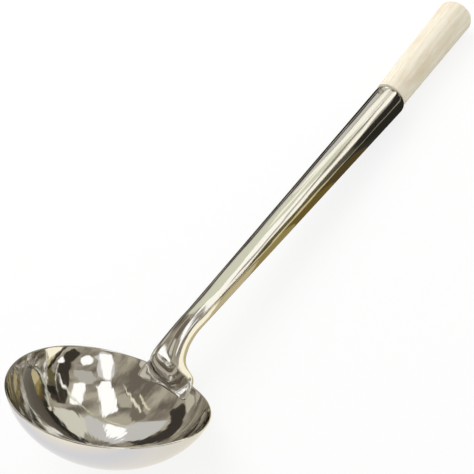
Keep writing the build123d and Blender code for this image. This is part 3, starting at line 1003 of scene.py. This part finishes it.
def grip_wood():
    """Pale, close-grained hardwood such as beech or rubberwood, turned, sanded and left raw. Growth rings
    run as faint long lines along it and as arcs on its end, with small dark ray flecks and warm patches
    from handling. The rings are 2.6 mm wide, about the pith, which lies outside the grip."""
    pith = (0, -26, 14)
    ring_half_width = 1.3
    ring_wander = 9
    material, tree = new_material("raw_turned_hardwood")
    turned = Matrix((grip_axis, grip_side, grip_top)).transposed()
    grip_place = put(tree, "ShaderNodeMapping", {
        "Vector": put(tree, "ShaderNodeTexCoord").outputs["Object"],
        "Location": lay_down @ Vector(grip_start),
        "Rotation": (lay_down.to_3x3() @ turned).to_euler(), "Scale": (mm, mm, mm),
    }, vector_type="TEXTURE")
    wander = grain(tree, grip_place, (0.012, 0.12, 0.12), 3)
    from_pith = put(tree, "ShaderNodeMapping", {
        "Vector": grip_place, "Location": pith, "Scale": (0, 1, 1),
    })
    pith_way = put(tree, "ShaderNodeVectorMath", {0: from_pith}, operation="LENGTH")
    wavy_way = put(tree, "ShaderNodeMath", {0: wander, 1: ring_wander, 2: pith_way.outputs["Value"]},
                   operation="MULTIPLY_ADD")
    years = put(tree, "ShaderNodeMath", {0: wavy_way, 1: ring_half_width}, operation="PINGPONG")
    tones = put(tree, "ShaderNodeValToRGB", {"Fac": years})
    blend(tones, ((0, "#E9DFC6"), (1, "#F1E9D7")))
    # Ray flecks half a millimetre wide and 6 mm long, and patches 11 mm wide and 29 mm long.
    pore = grain(tree, grip_place, (0.16, 2.2, 2.2), 3)
    pore_share = put(tree, "ShaderNodeMapRange", {
        "Value": pore, "From Min": 0.56, "From Max": 0.74, "To Max": 0.5,
    })
    grained = put(tree, "ShaderNodeMix", {
        "Factor": pore_share, "A": tones, "B": linear("#C9B48E"),
    }, data_type="RGBA")
    patch = grain(tree, grip_place, (0.035, 0.09, 0.09), 2, start=(0.5, 0, 0))
    patch_share = put(tree, "ShaderNodeMapRange", {
        "Value": patch, "From Min": 0.5, "From Max": 0.72, "To Max": 0.45,
    })
    handled = put(tree, "ShaderNodeMix", {
        "Factor": patch_share, "A": grained.outputs["Result"], "B": linear("#DCC9A6"),
    }, data_type="RGBA")
    relief = put(tree, "ShaderNodeBump", {"Distance": 0.03 * mm, "Height": pore})
    surface = put(tree, "ShaderNodeBsdfPrincipled", {
        "Base Color": handled.outputs["Result"], "Roughness": 0.62, "Specular IOR Level": 0.3,
        "Normal": relief,
    })
    put(tree, "ShaderNodeOutputMaterial", {"Surface": surface})
    return material


grip_mesh = skin(grip_rings())
grip_mesh.transform(lay_down)
grip = new_piece("turned_grip", grip_mesh, grip_wood())
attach(grip, "root")
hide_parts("grip")

# Nail: a small round-headed steel nail through the socket's wall and into the tenon, near the top of
# the mouth. The hammer has left its head slightly flat.
nail_setback = 7.0 * mm
nail_turn = radians(-10)
nail_radius = 0.9 * mm
nail_depth = 9.0 * mm
nail_point_length = 2 * mm
nail_point_radius = 0.1 * mm
nail_sink = 0.2 * mm
nail_head_radius = 2.1 * mm
nail_head_height = 0.9 * mm
nail_head_side = 0.25 * mm
nail_head_flat = 1.1 * mm
nail_columns = 64
nail_head_rings = 8

nail_way = tube_up * cos(nail_turn) - tube_side * sin(nail_turn)
nail_across = np.cross(tube_axis, nail_way)
nail_foot = mouth_middle - nail_setback * tube_axis
nail_seat = tube_radius(shank_length - nail_setback + nail_head_radius)
nail_turns = np.linspace(0, 2 * pi, nail_columns, endpoint=False)[:, None]
nail_profile = [
    (-nail_depth, nail_point_radius), (-nail_depth + nail_point_length, nail_radius),
    (-nail_sink, nail_radius), (-nail_sink, nail_head_radius), (nail_head_side, nail_head_radius),
]
for rise, run in quarter(nail_head_rings):
    nail_profile.append((nail_head_side + (nail_head_height - nail_head_side) * rise,
                         nail_head_flat + (nail_head_radius - nail_head_flat) * run))
nail_profile.append((nail_head_height, nail_point_radius))


def nail_ring(height, radius):
    """A round section of the nail at a height above its seat on the tube."""
    around = np.cos(nail_turns) * tube_axis + np.sin(nail_turns) * nail_across
    return nail_foot + (nail_seat + height) * nail_way + radius * around


def nail_skin():
    """Bright drawn-wire steel, a little dulled, with hammer dimples about a millimetre wide."""
    material, tree = new_material("hammered_wire_nail_steel")
    place = put(tree, "ShaderNodeTexCoord").outputs["Object"]
    dents = put(tree, "ShaderNodeTexNoise", {"Vector": place, "Scale": 1 / (0.9 * mm)})
    relief = put(tree, "ShaderNodeBump", {"Distance": 0.08 * mm, "Height": dents})
    surface = put(tree, "ShaderNodeBsdfPrincipled", {
        "Base Color": linear("#B5B1A8"), "Metallic": 1.0, "Roughness": 0.28, "Normal": relief,
    })
    put(tree, "ShaderNodeOutputMaterial", {"Surface": surface})
    return material


nail_mesh = skin([nail_ring(*station) for station in nail_profile])
nail_mesh.transform(lay_down)
nail = new_piece("grip_nail_head", nail_mesh, nail_skin())
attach(nail, "root")
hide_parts("grip_nail")
